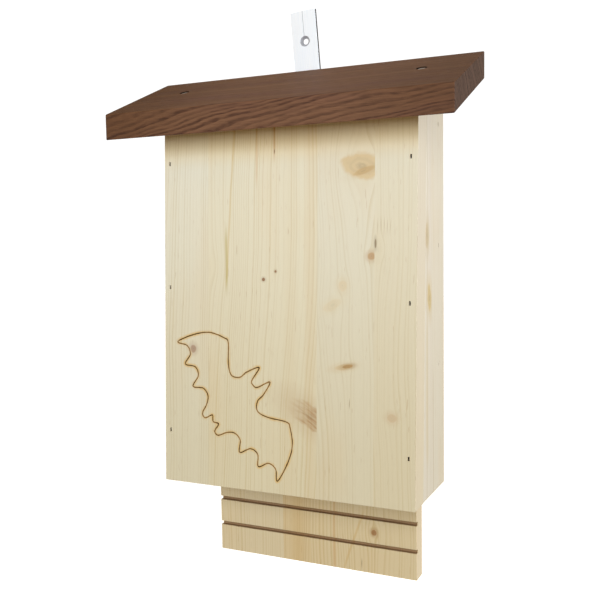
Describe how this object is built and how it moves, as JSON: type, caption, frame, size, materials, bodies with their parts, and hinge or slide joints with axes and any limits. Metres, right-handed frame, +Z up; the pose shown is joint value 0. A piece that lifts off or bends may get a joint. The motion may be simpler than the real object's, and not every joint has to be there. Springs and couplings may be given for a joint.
{
  "type": "bat box",
  "caption": "Flat wooden bat box for a wall, open below, with a sloping dark roof, a grooved landing board and a swivelling metal hanging strip.",
  "frame": {"origin": "centre of the wall screw's hole in the hanger strip, in the middle of the hole's straight wall", "axes": "+Z up, +Y towards the wall, +X to the right as seen from the front"},
  "size_m": [0.3, 0.1005, 0.4885],
  "materials": {
    "front_spruce": "planed, untreated, faintly burned outline",
    "side_spruce": "planed, untreated",
    "back_spruce": "planed, untreated, saw-cut grooves",
    "dark_ash": "heat-treated, planed, matt",
    "strip_aluminium": "mill finish, lightly brushed",
    "zinc_plate": "bright zinc plating",
    "brad_steel": "bare steel, dull"
  },
  "bodies": {
    "hanger": {"hanger_strip": "strip_aluminium"},
    "box": {"front_board": "front_spruce", "side_board_left": "side_spruce", "side_board_right": "side_spruce", "back_board": "back_spruce", "roof_board": "dark_ash", "roof_screw_left": "zinc_plate", "roof_screw_right": "zinc_plate", "front_brad_left_1": "brad_steel", "front_brad_left_2": "brad_steel", "front_brad_left_3": "brad_steel", "front_brad_right_1": "brad_steel", "front_brad_right_2": "brad_steel", "front_brad_right_3": "brad_steel", "side_brad_left_1": "brad_steel", "side_brad_left_2": "brad_steel", "side_brad_left_3": "brad_steel", "side_brad_right_1": "brad_steel", "side_brad_right_2": "brad_steel", "side_brad_right_3": "brad_steel", "swivel_screw": "zinc_plate"}
  },
  "joints": [
    {"name": "strip_swivel", "type": "hinge", "parent": "hanger", "child": "box", "pos_m": [0.00842, -0.001, -0.11469], "axis": [0, 1, 0], "range_deg": [-49.2, 40.8]}
  ]
}
